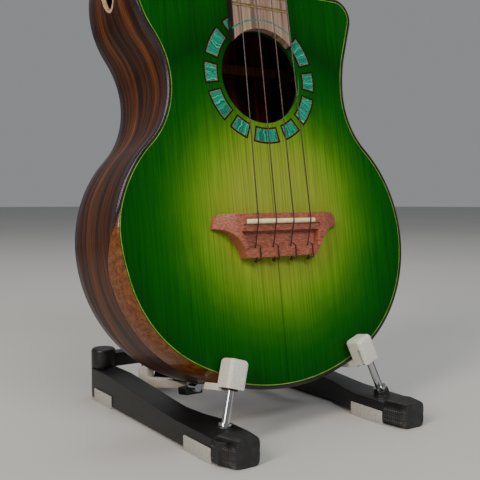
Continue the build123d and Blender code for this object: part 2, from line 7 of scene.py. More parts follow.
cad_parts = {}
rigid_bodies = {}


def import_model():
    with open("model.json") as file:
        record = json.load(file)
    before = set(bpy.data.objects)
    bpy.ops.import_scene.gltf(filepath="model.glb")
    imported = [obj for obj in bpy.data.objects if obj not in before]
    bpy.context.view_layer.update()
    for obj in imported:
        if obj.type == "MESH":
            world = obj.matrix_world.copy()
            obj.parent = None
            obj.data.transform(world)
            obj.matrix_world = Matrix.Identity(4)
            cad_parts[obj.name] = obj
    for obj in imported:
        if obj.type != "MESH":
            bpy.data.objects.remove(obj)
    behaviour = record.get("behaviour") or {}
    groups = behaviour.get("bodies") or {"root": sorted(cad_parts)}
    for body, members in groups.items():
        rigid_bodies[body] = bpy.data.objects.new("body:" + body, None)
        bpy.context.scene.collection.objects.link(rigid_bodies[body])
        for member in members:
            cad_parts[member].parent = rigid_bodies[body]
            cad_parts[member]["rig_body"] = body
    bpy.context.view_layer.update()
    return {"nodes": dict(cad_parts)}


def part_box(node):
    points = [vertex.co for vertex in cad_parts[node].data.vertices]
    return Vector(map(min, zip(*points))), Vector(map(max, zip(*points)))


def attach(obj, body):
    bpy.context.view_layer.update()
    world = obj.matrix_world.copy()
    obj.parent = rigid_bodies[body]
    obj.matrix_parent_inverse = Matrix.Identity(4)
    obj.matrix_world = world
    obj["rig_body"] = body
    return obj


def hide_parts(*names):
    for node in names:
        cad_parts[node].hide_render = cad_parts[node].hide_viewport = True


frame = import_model()
nodes = frame["nodes"]

# ---------------------------------------------------------------- soundboard
# A spruce plate with a seam down its middle, stained green in a burst that is palest round the bridge
# and dark at the edge, then lacquered and buffed. Its face is flat and the soundhole's edge is rounded.
UKE = Matrix.Translation((0, -0.0205, 0.231)) @ Matrix.Rotation(math.radians(81), 4,
    "X") @ Matrix.Scale(0.001, 4)
HOLE_R = 31.0
BINDING_WIDE, BINDING_DEEP = 2.3, 5.0
ARMREST_WIDE, ARMREST_DEEP = 5.2, 14.5
REBATE_DEEP = 16.2  # where the side starts again below the armrest
LINES_WIDE = 1.3
BOARD_THICK = 2.5
BURST_CENTRE, BURST_REACH = (3.0, -92.0, 0.0), 150.0


def linear(code):
    """A colour written as sRGB hex, as linear RGBA."""
    parts = [int(code[i:i + 2], 16) / 255 for i in (1, 3, 5)]
    return tuple(c / 12.92 if c <= 0.04045 else ((c + 0.055) / 1.055) ** 2.4 for c in parts) + (1.0,)


def add(material, kind, inputs=None, stops=None, **settings):
    """Adds a shader node. Each input is a value, or a socket to link."""
    made = material.node_tree.nodes.new("ShaderNode" + kind)
    for key, value in settings.items():
        setattr(made, key, value)
    for key, value in (inputs or {}).items():
        if isinstance(value, bpy.types.NodeSocket):
            material.node_tree.links.new(value, made.inputs[key])
        else:
            made.inputs[key].default_value = value
    for number, (place, colour) in enumerate(stops or []):
        elements = made.color_ramp.elements
        element = elements[number] if number < 2 else elements.new(place)
        element.position = place
        element.color = linear(colour)
    return made


def finish(name, **shader):
    """A new material: its settings go on the surface shader's own sockets."""
    material = bpy.data.materials.new(name)
    material.use_nodes = True
    surface = material.node_tree.nodes["Principled BSDF"]
    for key, value in shader.items():
        surface.inputs[{"specular": "Specular IOR Level"}.get(key,
            key.replace("_", " ").title())].default_value = value
    return material, surface


def colour_and_bump(material, surface, colour, height=None, depth=0.0002, strength=0.5):
    material.node_tree.links.new(colour, surface.inputs["Base Color"])
    if height is not None:
        bump = add(material, "Bump", {"Height": height, "Distance": depth, "Strength": strength})
        material.node_tree.links.new(bump.outputs[0], surface.inputs["Normal"])


def uke_place(material):
    """A point in millimetres along the ukulele's own directions: across, up the neck, out of the top."""
    place = add(material, "TexCoord").outputs["Object"]
    return add(material, "Mapping",
        {"Vector": place, "Location": (0, -0.0205, 0.231), "Rotation": (math.radians(81), 0, 0),
                                     "Scale": (0.001, 0.001, 0.001)}, vector_type="TEXTURE").outputs[0]


def arc(points, start, heading, radius, turn, side):
    """Adds an arc to a list of (point, outward normal) and returns its end and heading."""
    count = max(2, math.ceil(abs(math.radians(turn)) * radius / 1.6))
    to_centre = 90 if turn > 0 else -90
    centre = Vector(start) + radius * Vector((math.cos(math.radians(heading + to_centre)),
        math.sin(math.radians(heading + to_centre))))
    for step in range(1, count + 1):
        now = heading + turn * step / count
        out = Vector((math.cos(math.radians(now - to_centre)), math.sin(math.radians(now - to_centre))))
        normal = Vector((math.cos(math.radians(now + side)), math.sin(math.radians(now + side))))
        points.append((centre + radius * out, normal))
    return points[-1][0], heading + turn


def straight(points, end, normal):
    start = points[-1][0]
    count = max(1, round((Vector(end) - start).length / 3))
    for step in range(1, count + 1):
        points.append((start.lerp(Vector(end), step / count), Vector(normal)))


def body_outline():
    """The body's edge in tangent arcs, as (point, outward normal) pairs, anticlockwise from the tail."""
    tail_y, joint_y, heel = -206.4, 98.0, 24.0
    tail_r, bout_r, shoulder_r, flank_r, horn_r = 143.0, 89.0, 32.0, 95.8, 14.3
    tail_turn = math.degrees(math.asin((115.6 - bout_r) / (tail_r - bout_r)))
    bout_y = tail_y + tail_r - (tail_r - bout_r) * math.cos(math.radians(tail_turn))
    waist_in, waist_up = 72.2 - (115.6 - bout_r), -8.0 - bout_y
    waist_r = (waist_up**2 + waist_in**2 - bout_r**2) / (2 * (bout_r - waist_in))
    lower_turn = math.degrees(math.atan2(waist_up, waist_in + waist_r))
    upper_out, upper_up = 72.2 + waist_r - 92.0, 64.0
    upper_r = (upper_out**2 + upper_up**2 - waist_r**2) / (2 * (waist_r - upper_out))
    upper_turn = math.degrees(math.atan2(upper_up, upper_out + upper_r))
    shoulder_turn = math.degrees(math.asin((joint_y - shoulder_r - 56.0) / (upper_r - shoulder_r)))
    horn = Vector((85.9 - horn_r, 64.8 - horn_r))
    across, up = flank_r + 72.2 - horn.x, horn.y + 8.0
    flank_turn = math.degrees(math.atan2(up, across) - math.acos((flank_r + horn_r) / math.hypot(across, up)))
    cut_r = joint_y - 64.8
    treble = [(Vector((0, tail_y)), Vector((0, -1)))]
    end, heading = Vector((0, tail_y)), 0
    for radius, turn in ((tail_r, tail_turn), (bout_r, 90 - tail_turn + lower_turn), (waist_r, -lower_turn),
        (flank_r, -flank_turn)):
        end, heading = arc(treble, end, heading, radius, turn, -90)
    turned = math.radians(flank_turn)
    horn_start = horn + horn_r * Vector((math.cos(turned), -math.sin(turned)))
    straight(treble, horn_start, treble[-1][1])
    arc(treble, horn_start, heading, horn_r, 90 + flank_turn, -90)
    straight(treble, (heel + cut_r, 64.8), (0, 1))
    arc(treble, (heel + cut_r, 64.8), 180, cut_r, -90, -90)
    treble[-1] = (treble[-1][0], Vector((1, 1)))
    bass = []
    end, heading = Vector((0, tail_y)), 180
    for radius, turn in ((tail_r, -tail_turn), (bout_r, tail_turn - 90 - lower_turn),
        (waist_r, lower_turn + upper_turn),
                         (upper_r, -upper_turn - shoulder_turn), (shoulder_r, shoulder_turn - 90)):
        end, heading = arc(bass, end, heading, radius, turn, 90)
    straight(treble, bass[-1][0], (0, 1))
    return treble[:-1] + bass[::-1]


OUTLINE = body_outline()


def smooth_step(value):
    value = min(1.0, max(0.0, value))
    return value * value * (3 - 2 * value)


def armrest_share(point):
    """How much of the armrest there is beside a point of the edge: 0 is none and 1 is its full width."""
    return smooth_step((-86 - point.y) / 44) * smooth_step((-45 - point.x) / 12)


def edge_inset(point):
    """How far in the top's decorative lines start."""
    return BINDING_WIDE + (ARMREST_WIDE - BINDING_WIDE) * armrest_share(point)


def new_piece(name, mesh, material, body, replaced=()):
    mesh.materials.append(material)
    piece = bpy.data.objects.new(name, mesh)
    bpy.context.scene.collection.objects.link(piece)
    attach(piece, body)
    if replaced:
        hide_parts(*replaced)
    return piece


def shape(name, points, faces, place=UKE, sharp=35):
    mesh = bpy.data.meshes.new(name)
    mesh.from_pydata([place @ Vector(p) for p in points], [], faces)
    mesh.validate()
    mesh.shade_smooth()
    mesh.set_sharp_from_angle(angle=math.radians(sharp))
    return mesh


def rim(name, stations, closed=True):
    """A strip that follows the body's edge: each station is a list of points across it."""
    points = [p for station in stations for p in station]
    wide, long = len(stations[0]), len(stations)
    faces = []
    for i in range(long if closed else long - 1):
        for j in range(wide - 1):
            a, b = i * wide + j, (i + 1) % long * wide + j
            faces.append((a, b, b + 1, a + 1))
    return shape(name, points, faces)


def across_edge(point, normal, profile):
    return [(*(point - normal * inset), z) for inset, z in profile]


def board_with_hole(top, bottom):
    """The plate's two faces, filled between its edge and the soundhole, and the hole's rounded wall."""
    bm = bmesh.new()
    hole_profile = [(1.1, 0), (0.6, -0.08), (0.22, -0.32), (0, -0.9), (0, bottom), (1.1, bottom)]
    count = 128
    for level, grow in ((top, 1.1), (bottom, 1.1)):
        loop = [bm.verts.new((*(p - n * (edge_inset(p) + LINES_WIDE)), level)) for p, n in OUTLINE]
        hole = [bm.verts.new(((HOLE_R + grow) * math.cos(2 * math.pi * k / count),
            (HOLE_R + grow) * math.sin(2 * math.pi * k / count), level))
                for k in range(count)]
        edges = [bm.edges.new((ring[k - 1], ring[k])) for ring in (loop, hole) for k in range(len(ring))]
        filled = bmesh.ops.triangle_fill(bm, use_beauty=True, edges=edges)["geom"]
        for face in filled:
            if isinstance(face, bmesh.types.BMFace) and (face.normal.z > 0) != (level == top):
                face.normal_flip()
    rings = [[bm.verts.new(((HOLE_R + out) * math.cos(2 * math.pi * k / count),
        (HOLE_R + out) * math.sin(2 * math.pi * k / count), z))
              for k in range(count)] for out, z in hole_profile]
    for first, second in zip(rings, rings[1:]):
        for k in range(count):
            bm.faces.new((first[k - 1], first[k], second[k], second[k - 1]))
    bmesh.ops.remove_doubles(bm, verts=bm.verts, dist=0.001)
    bm.transform(UKE)
    mesh = bpy.data.meshes.new("soundboard_face")
    bm.to_mesh(mesh)
    mesh.shade_smooth()
    mesh.set_sharp_from_angle(angle=math.radians(35))
    return mesh


# Stained and lacquered spruce: fine straight grain 1 to 2 mm apart, and a clear hard gloss over it.
burst_spruce, surface = finish("burst_lacquered_spruce", roughness=0.35, specular=0.06, coat_weight=0.12,
    coat_roughness=0.06)
place = uke_place(burst_spruce)
cloud = add(burst_spruce, "TexNoise", {"Vector": place, "Scale": 0.03, "Detail": 3.0}).outputs[0]
from_bridge = add(burst_spruce, "VectorMath", {0: place, 1: BURST_CENTRE},
    operation="SUBTRACT").outputs[0]
from_bridge = add(burst_spruce, "VectorMath", {0: from_bridge, 1: (1.0, 1.0, 0.0)},
    operation="MULTIPLY").outputs[0]
reach = add(burst_spruce, "VectorMath", {0: from_bridge}, operation="LENGTH").outputs["Value"]
reach = add(burst_spruce, "Math", {0: cloud, 1: 14.0, 2: reach}, operation="MULTIPLY_ADD").outputs[0]
reach = add(burst_spruce, "Math", {0: reach, 1: BURST_REACH}, operation="DIVIDE").outputs[0]
stain = add(burst_spruce, "ValToRGB", {0: reach}, stops=[
    (0.0, "#93a13e"), (1.0, "#004c00"), (0.26, "#8b9b35"), (0.36, "#7c9529"),
    (0.44, "#5f8a1b"), (0.51, "#3d7509"),
    (0.58, "#1c6202"), (0.66, "#065401"), (0.75, "#014a00"), (0.85, "#013a00")]).outputs[0]
fine = add(burst_spruce, "Mapping", {"Vector": place, "Scale": (0.9, 0.012, 0.2)}).outputs[0]
grain = add(burst_spruce, "TexNoise",
    {"Vector": fine, "Scale": 1.0, "Detail": 3.0, "Roughness": 0.65}).outputs[0]
lines = add(burst_spruce, "ValToRGB", {0: grain}, stops=[(0.32, "#b9b9b9"), (0.6, "#ffffff")]).outputs[0]
across = add(burst_spruce, "SeparateXYZ", {0: place}).outputs[0]
seam = add(burst_spruce, "Math",
    {0: add(burst_spruce, "Math", {0: across}, operation="ABSOLUTE").outputs[0], 1: 0.35},
    operation="LESS_THAN").outputs[0]
stain = add(burst_spruce, "Mix", {0: 0.75, 6: stain, 7: lines}, data_type="RGBA",
    blend_type="MULTIPLY").outputs[2]
stain = add(burst_spruce, "Mix", {0: seam, 6: stain, 7: linear("#b4c49a")}, data_type="RGBA",
    blend_type="MULTIPLY").outputs[2]
colour_and_bump(burst_spruce, surface, stain, grain, 0.00004, 0.12)
new_piece("soundboard_face", board_with_hole(0.0, -BOARD_THICK), burst_spruce, "ukulele", ["soundboard"])

# ---------------------------------------------------------------- top edge: lines, binding and armrest
# Three thin wood lines, black, pale green and black, then a dark wood binding with a rounded corner,
# glued in a rebate. On the bass side of the lower bout a bevelled armrest takes the binding's place.
black_line, surface = finish("black_dyed_wood_line", roughness=0.4, specular=0.1, coat_weight=0.1,
    coat_roughness=0.08)
speck = add(black_line, "TexNoise", {"Vector": uke_place(black_line), "Scale": 0.8, "Detail": 2.0}).outputs[0]
colour_and_bump(black_line, surface,
    add(black_line, "ValToRGB", {0: speck}, stops=[(0.3, "#04060a"), (0.7, "#0c120c")]).outputs[0])
green_line, surface = finish("green_dyed_maple_line", roughness=0.4, specular=0.1, coat_weight=0.1,
    coat_roughness=0.08)
speck = add(green_line, "TexNoise",
    {"Vector": uke_place(green_line), "Scale": 0.15, "Detail": 3.0}).outputs[0]
colour_and_bump(green_line, surface,
    add(green_line, "ValToRGB", {0: speck}, stops=[(0.35, "#4f8a1c"), (0.65, "#73a630")]).outputs[0])
for name, material, low, high in (("outer_black_line", black_line, 0.0, 0.35),
    ("pale_green_line", green_line, 0.35, 0.95),
                                  ("inner_black_line", black_line, 0.95, LINES_WIDE)):
    stations = [across_edge(p, n,
        [(edge_inset(p) + low, -0.6), (edge_inset(p) + low, 0.03), (edge_inset(p) + high, 0.03),
                                   (edge_inset(p) + high, -0.6)]) for p, n in OUTLINE]
    new_piece(name, rim(name, stations), material, "ukulele", ["top_purfling"])

# Dark rosewood binding: near black with a purple cast, and glossy along its rounded corner.
dark_binding, surface = finish("lacquered_dark_binding", roughness=0.3, specular=0.2, coat_weight=0.35,
    coat_roughness=0.05)
streak = add(dark_binding, "Mapping",
    {"Vector": uke_place(dark_binding), "Scale": (0.05, 0.05, 0.9)}).outputs[0]
streak = add(dark_binding, "TexNoise", {"Vector": streak, "Scale": 1.0, "Detail": 4.0}).outputs[0]
colour_and_bump(dark_binding, surface,
    add(dark_binding, "ValToRGB", {0: streak}, stops=[(0.35, "#120a0e"), (0.7, "#33202a")]).outputs[0])
ROUND = [(1.3, 0.0), (0.75, -0.1), (0.35, -0.35), (0.1, -0.75), (0.0, -1.3)]
stations = []
for p, n in OUTLINE:
    share = armrest_share(p)
    swallowed = min(1.0, 3.2 * share)
    low = -ARMREST_DEEP * share
    profile = [(BINDING_WIDE * (1 - swallowed), low if share else 0.0)]
    profile += [(inset * (1 - swallowed), min(z, low - 0.01)) if share else (inset, z) for inset, z in ROUND]
    profile.append((0.0, min(-BINDING_DEEP, low - 0.02)))
    stations.append(across_edge(p, n, profile))
new_piece("binding_round", rim("binding_round", stations), dark_binding, "ukulele", ["top_binding"])

# Figured orange-brown wood, sanded to a slope and lacquered with the rest.
armrest_wood, surface = finish("lacquered_figured_armrest", roughness=0.3, specular=0.2, coat_weight=0.5,
    coat_roughness=0.05)
place = uke_place(armrest_wood)
mottle = add(armrest_wood, "TexNoise",
    {"Vector": place, "Scale": 0.35, "Detail": 5.0, "Roughness": 0.7, "Distortion": 0.6}).outputs[0]
colour_and_bump(armrest_wood, surface, add(armrest_wood, "ValToRGB", {0: mottle}, stops=[
    (0.28, "#341806"), (0.72, "#86501c"), (0.5, "#63360f")]).outputs[0], mottle, 0.00005, 0.2)
stations = []
for p, n in OUTLINE:
    share = armrest_share(p)
    if share > 0.001:
        start, end = (edge_inset(p), 0.0), (BINDING_WIDE * (1 - min(1.0, 3.2 * share)), -ARMREST_DEEP * share)
        profile = []
        for k in range(9):
            inset = start[0] + (end[0] - start[0]) * k / 8
            lift = 0.35 * share * math.sin(math.pi * k / 8) if k > 1 else 0
            profile.append((inset - 0.9 * share * math.sin(math.pi * (k / 8) ** 0.75), end[1] * k / 8 + lift))
        profile = [(max(inset, 0.0), min(z, 0.02)) for inset, z in profile]
        stations.append(across_edge(p, n, profile))
new_piece("armrest_slope", rim("armrest_slope", stations, closed=False), armrest_wood, "ukulele",
    ["armrest_bevel"])

# ---------------------------------------------------------------- sides and back
# Rosewood bent to the outline and glued to the linings: dark brown with near-black and orange-brown
# streaks that run along the side. The back is the same wood, its streaks running up the body.
rosewood, surface = finish("lacquered_rosewood", roughness=0.4, specular=0.1, coat_weight=0.12,
    coat_roughness=0.06)
place = uke_place(rosewood)
wave = add(rosewood, "TexNoise", {"Vector": place, "Scale": 0.012, "Detail": 2.0}).outputs[0]
bent = add(rosewood, "VectorMath",
    {0: add(rosewood, "CombineXYZ", {2: wave}).outputs[0], 1: (0.0, 0.0, 22.0)},
    operation="MULTIPLY").outputs[0]
bent = add(rosewood, "VectorMath", {0: place, 1: bent}, operation="ADD").outputs[0]
broad = add(rosewood, "Mapping", {"Vector": bent, "Scale": (0.006, 0.006, 0.28)}).outputs[0]
broad = add(rosewood, "TexNoise",
    {"Vector": broad, "Scale": 1.0, "Detail": 6.0, "Roughness": 0.62}).outputs[0]
thin = add(rosewood, "Mapping", {"Vector": bent, "Scale": (0.02, 0.02, 0.8)}).outputs[0]
thin = add(rosewood, "TexNoise", {"Vector": thin, "Scale": 1.0, "Detail": 4.0, "Roughness": 0.6}).outputs[0]
streaks = add(rosewood, "Mix", {0: 0.38, 6: broad, 7: thin}, data_type="RGBA").outputs[2]
colour_and_bump(rosewood, surface, add(rosewood, "ValToRGB", {0: streaks}, stops=[
    (0.36, "#0e0502"), (0.68, "#7c4618"), (0.45, "#220f05"), (0.52, "#3d1e0a"), (0.6, "#593011")]).outputs[0],
        thin, 0.00005, 0.25)
for name in ("side_bass", "side_treble"):
    nodes[name].data.materials.clear()
    nodes[name].data.materials.append(rosewood)
stations = []
for p, n in OUTLINE:
    if p.y < -83.5 and p.x < -13.5:
        stations.append(across_edge(p, n,
            [(0.0, min(-BINDING_DEEP, -ARMREST_DEEP * armrest_share(p))), (0.0, -REBATE_DEEP)]))
new_piece("side_strip_under_armrest", rim("side_strip_under_armrest", stations, closed=False), rosewood,
    "ukulele", [])

back_wood, surface = finish("lacquered_rosewood_back", roughness=0.35, specular=0.15, coat_weight=0.3,
    coat_roughness=0.06)
place = uke_place(back_wood)
parts = add(back_wood, "SeparateXYZ", {0: place}).outputs
mirrored = add(back_wood, "CombineXYZ",
    {0: add(back_wood, "Math", {0: parts[0]}, operation="ABSOLUTE").outputs[0], 1: parts[1],
    2: parts[2]}).outputs[0]
wave = add(back_wood, "TexNoise", {"Vector": mirrored, "Scale": 0.008, "Detail": 2.0}).outputs[0]
bent = add(back_wood, "VectorMath",
    {0: add(back_wood, "CombineXYZ", {0: wave}).outputs[0], 1: (60.0, 0.0, 0.0)},
    operation="MULTIPLY").outputs[0]
bent = add(back_wood, "VectorMath", {0: mirrored, 1: bent}, operation="ADD").outputs[0]
broad = add(back_wood, "TexNoise",
    {"Vector": add(back_wood, "Mapping", {"Vector": bent, "Scale": (0.13, 0.004, 0.01)}).outputs[0],
                                    "Scale": 1.0, "Detail": 7.0, "Roughness": 0.64}).outputs[0]
colour_and_bump(back_wood, surface, add(back_wood, "ValToRGB", {0: broad}, stops=[
    (0.36, "#140603"), (0.68, "#8a4a1c"), (0.45, "#311207"), (0.52, "#4f220d"), (0.6, "#6e3414")]).outputs[0],
        broad, 0.00005, 0.2)


def dress(material, *names):
    """Gives CAD nodes a material."""
    for name in names:
        nodes[name].data.materials.clear()
        nodes[name].data.materials.append(material)


dress(back_wood, "back_plate")
dress(dark_binding, "back_binding")

# Pale wood ring inlaid round the sound port.
pale_wood, surface = finish("lacquered_maple", roughness=0.35, coat_weight=0.8, coat_roughness=0.06)
flake = add(pale_wood, "TexNoise", {"Vector": uke_place(pale_wood), "Scale": 0.5, "Detail": 4.0}).outputs[0]
colour_and_bump(pale_wood, surface,
    add(pale_wood, "ValToRGB", {0: flake}, stops=[(0.3, "#a98a5c"), (0.7, "#d3bb8c")]).outputs[0])
dress(pale_wood, "sound_port_ring")

# ---------------------------------------------------------------- inside the body
# Bare spruce braces and a bridge plate, and mahogany blocks and linings, seen only through the two openings.
bare_spruce, surface = finish("bare_spruce", roughness=0.7)
grain = add(bare_spruce, "TexNoise",
    {"Vector": add(bare_spruce, "Mapping",
    {"Vector": uke_place(bare_spruce), "Scale": (0.02, 0.02, 0.8)}).outputs[0],
                                      "Scale": 1.0, "Detail": 4.0}).outputs[0]
colour_and_bump(bare_spruce, surface,
    add(bare_spruce, "ValToRGB", {0: grain}, stops=[(0.3, "#6a4422"), (0.7, "#9a6a38")]).outputs[0], grain,
    0.0001, 0.3)
dress(bare_spruce, "soundboard_braces", "bridge_plate")
bare_mahogany, surface = finish("bare_mahogany", roughness=0.7)
grain = add(bare_mahogany, "TexNoise",
    {"Vector": add(bare_mahogany, "Mapping",
    {"Vector": uke_place(bare_mahogany), "Scale": (0.3, 0.02, 0.3)}).outputs[0],
                                        "Scale": 1.0, "Detail": 4.0}).outputs[0]
colour_and_bump(bare_mahogany, surface,
    add(bare_mahogany, "ValToRGB", {0: grain}, stops=[(0.3, "#4a2413"), (0.7, "#80462a")]).outputs[0], grain,
    0.0001, 0.3)
dress(bare_mahogany, "linings", "neck_block", "tail_block", "back_braces")

# ---------------------------------------------------------------- rosette
# Tiles of turquoise stone laid in dark resin, each with a copper line and a black edge, let into
# the top round the soundhole and levelled. Thin cracks run across each tile.
ROSETTE_IN, ROSETTE_OUT = 34.7, 44.8
TILES = {-240: 18.5, -210: 27, -180: 18.5, -150: 27, -120: 18.5, -90: 27, -60: 18.5, -30: 27, 0: 18.5, 30: 27,
    60: 18.5}


def curved_tile(angle, span, inset, level):
    """A piece of a ring between two radii, its corners square, standing just proud of the top."""
    inner, outer, steps = ROSETTE_IN + inset, ROSETTE_OUT - inset, 10
    half = math.radians(span / 2)
    points, faces = [], []
    for k in range(steps + 1):
        for radius in (inner, outer):
            turn = math.radians(angle) + (half - inset / radius) * (2 * k / steps - 1)
            points += [(radius * math.cos(turn), radius * math.sin(turn), z) for z in (level, -0.3)]
    for k in range(steps):
        a, b = 4 * k, 4 * k + 4
        faces += [(a, a + 2, b + 2, b), (a + 2, a + 3, b + 3, b + 2), (a + 1, a, b, b + 1)]
    last = 4 * steps
    faces += [(0, 1, 3, 2), (last, last + 2, last + 3, last + 1)]
    return points, faces


def all_tiles(name, inset, level):
    points, faces = [], []
    for angle, span in TILES.items():
        more, joined = curved_tile(angle, span, inset, level)
        faces += [tuple(i + len(points) for i in face) for face in joined]
        points += more
    return shape(name, points, faces)


# Crushed turquoise: green-blue with paler and darker bars across each tile, cracked by dark resin.
turquoise, surface = finish("polished_turquoise", roughness=0.3, specular=0.2, coat_weight=0.2,
    coat_roughness=0.06)
place = uke_place(turquoise)
parts = add(turquoise, "SeparateXYZ", {0: place}).outputs
turn = add(turquoise, "Math", {0: parts[1], 1: parts[0]}, operation="ARCTAN2").outputs[0]
shake = add(turquoise, "TexNoise", {"Vector": place, "Scale": 0.22, "Detail": 3.0}).outputs[0]
turn = add(turquoise, "Math", {0: shake, 1: 0.14, 2: turn}, operation="MULTIPLY_ADD").outputs[0]
bars = add(turquoise, "TexNoise",
    {"Vector": add(turquoise, "CombineXYZ", {0: turn}).outputs[0], "Scale": 34.0, "Detail": 2.0}).outputs[0]
colour_and_bump(turquoise, surface, add(turquoise, "ValToRGB", {0: bars}, stops=[
    (0.3, "#020c0a"), (0.74, "#6ad8b6"), (0.38, "#084a3b"), (0.44, "#159a7c"), (0.51, "#0a5343"),
        (0.6, "#30b494")]).outputs[0])
copper_line, surface = finish("copper_wire_line", roughness=0.35, metallic=0.7)
speck = add(copper_line, "TexNoise",
    {"Vector": uke_place(copper_line), "Scale": 1.2, "Detail": 3.0}).outputs[0]
colour_and_bump(copper_line, surface,
    add(copper_line, "ValToRGB", {0: speck}, stops=[(0.35, "#5a3a18"), (0.62, "#b98f4e")]).outputs[0])
new_piece("tile_black_edge", all_tiles("tile_black_edge", -0.4, 0.03), black_line, "ukulele",
    ["rosette_tiles"])
new_piece("tile_copper_line", all_tiles("tile_copper_line", 0.6, 0.06), copper_line, "ukulele",
    ["rosette_tiles"])
new_piece("tile_turquoise", all_tiles("tile_turquoise", 1.1, 0.09), turquoise, "ukulele", ["rosette_tiles"])

# ---------------------------------------------------------------- bridge and saddle
# A reddish-brown bridge with short dark pores, oiled, its corners eased, and a bone saddle in its slot.


def rounded(node, width, material, name=None, segments=3):
    """The CAD node's shape with its sharp edges eased by this width in millimetres, standing in for it."""
    bm = bmesh.new()
    bm.from_mesh(nodes[node].data)
    bmesh.ops.remove_doubles(bm, verts=bm.verts, dist=1e-6)
    bmesh.ops.dissolve_limit(bm, angle_limit=math.radians(0.6), verts=bm.verts, edges=bm.edges)
    sharp = [e for e in bm.edges if len(e.link_faces) == 2 and e.calc_face_angle(0) > math.radians(28)]
    bmesh.ops.bevel(bm, geom=sharp, offset=width / 1000, segments=segments, profile=0.5, affect="EDGES",
        clamp_overlap=True)
    bmesh.ops.triangulate(bm, faces=bm.faces)
    mesh = bpy.data.meshes.new(name or node + "_eased")
    bm.to_mesh(mesh)
    mesh.shade_smooth()
    mesh.set_sharp_from_angle(angle=math.radians(40))
    return new_piece(mesh.name, mesh, material, nodes[node]["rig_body"], [node])


bridge_wood, surface = finish("oiled_bridge_rosewood", roughness=0.5, coat_weight=0.15, coat_roughness=0.3)
place = uke_place(bridge_wood)
pores = add(bridge_wood, "TexNoise",
    {"Vector": add(bridge_wood, "Mapping", {"Vector": place, "Scale": (0.3, 1.6, 1.6)}).outputs[0],
                                      "Scale": 1.0, "Detail": 5.0, "Roughness": 0.75}).outputs[0]
colour_and_bump(bridge_wood, surface, add(bridge_wood, "ValToRGB", {0: pores}, stops=[
    (0.34, "#33140d"), (0.68, "#b8755c"), (0.45, "#83442f"), (0.56, "#a05a44")]).outputs[0], pores, 0.0001,
        0.3)
rounded("bridge", 0.5, bridge_wood)
bone, surface = finish("polished_bone", roughness=0.3, subsurface_weight=0.1)
speck = add(bone, "TexNoise", {"Vector": uke_place(bone), "Scale": 0.5, "Detail": 3.0}).outputs[0]
colour_and_bump(bone, surface,
    add(bone, "ValToRGB", {0: speck}, stops=[(0.35, "#e2d69a"), (0.65, "#f2eac0")]).outputs[0])
rounded("saddle", 0.6, bone)
rounded("nut", 0.4, bone)

# ---------------------------------------------------------------- fretboard, frets and strings
# An oiled board, pale pinkish brown with straight dark lines, bound in black at its sides, with a thin
# turquoise arc inlaid near its end. The frets are nickel silver and the strings dark red-brown nylon.
board_wood, surface = finish("oiled_fretboard", roughness=0.45, coat_weight=0.1)
place = uke_place(board_wood)
grain = add(board_wood, "TexNoise",
    {"Vector": add(board_wood, "Mapping", {"Vector": place, "Scale": (0.55, 0.01, 0.3)}).outputs[0],
                                     "Scale": 1.0, "Detail": 6.0, "Roughness": 0.7}).outputs[0]
wood = add(board_wood, "ValToRGB", {0: grain},
    stops=[(0.34, "#4c3630"), (0.7, "#b79b84"), (0.45, "#856a5b"), (0.58, "#a08470")]).outputs[0]
parts = add(board_wood, "SeparateXYZ", {0: place}).outputs
half = add(board_wood, "Math", {0: parts[1], 1: -0.0174, 2: 23.1}, operation="MULTIPLY_ADD").outputs[0]
bound = add(board_wood, "Math",
    {0: add(board_wood, "Math", {0: parts[0]}, operation="ABSOLUTE").outputs[0], 1: half},
    operation="GREATER_THAN").outputs[0]
wood = add(board_wood, "Mix", {0: bound, 6: wood, 7: linear("#170e12")}, data_type="RGBA").outputs[2]
colour_and_bump(board_wood, surface, wood, grain, 0.00006, 0.25)
dress(board_wood, "fretboard")
dress(turquoise, "fretboard_inlay")
nickel, surface = finish("nickel_silver_wire", roughness=0.22, metallic=1.0)
wear = add(nickel, "TexNoise", {"Vector": uke_place(nickel), "Scale": 0.6, "Detail": 3.0}).outputs[0]
colour_and_bump(nickel, surface,
    add(nickel, "ValToRGB", {0: wear}, stops=[(0.3, "#b39a66"), (0.7, "#cdb884")]).outputs[0])
dress(nickel, "frets")
string_nylon, surface = finish("dark_nylon_string", roughness=0.3)
tone = add(string_nylon, "TexNoise",
    {"Vector": uke_place(string_nylon), "Scale": 0.4, "Detail": 2.0}).outputs[0]
colour_and_bump(string_nylon, surface,
    add(string_nylon, "ValToRGB", {0: tone}, stops=[(0.35, "#1c0b09"), (0.7, "#3a1814")]).outputs[0])
dress(string_nylon, "strings")

# ---------------------------------------------------------------- neck, headstock and tuners
# A one-piece mahogany neck in satin lacquer, with a rosewood face on the headstock and a cap on the heel,
# and sealed chrome tuners with pearl buttons.
neck_wood, surface = finish("satin_mahogany", roughness=0.38, coat_weight=0.35, coat_roughness=0.2)
grain = add(neck_wood, "TexNoise",
    {"Vector": add(neck_wood, "Mapping",
    {"Vector": uke_place(neck_wood), "Scale": (0.5, 0.02, 0.5)}).outputs[0],
                                    "Scale": 1.0, "Detail": 6.0, "Roughness": 0.7}).outputs[0]
colour_and_bump(neck_wood, surface, add(neck_wood, "ValToRGB", {0: grain}, stops=[
    (0.34, "#3a170b"), (0.7, "#8a4c2c"), (0.5, "#6a3219")]).outputs[0], grain, 0.00008, 0.25)
dress(neck_wood, "neck")
dress(back_wood, "heel_cap")
rounded("headstock_veneer", 0.5, back_wood)
chrome, surface = finish("polished_chrome", roughness=0.1, metallic=1.0)
haze = add(chrome, "TexNoise",
    {"Vector": add(chrome, "TexCoord").outputs["Object"], "Scale": 90.0, "Detail": 3.0}).outputs[0]
colour_and_bump(chrome, surface,
    add(chrome, "ValToRGB", {0: haze}, stops=[(0.3, "#a9abad"), (0.7, "#c4c6c8")]).outputs[0])
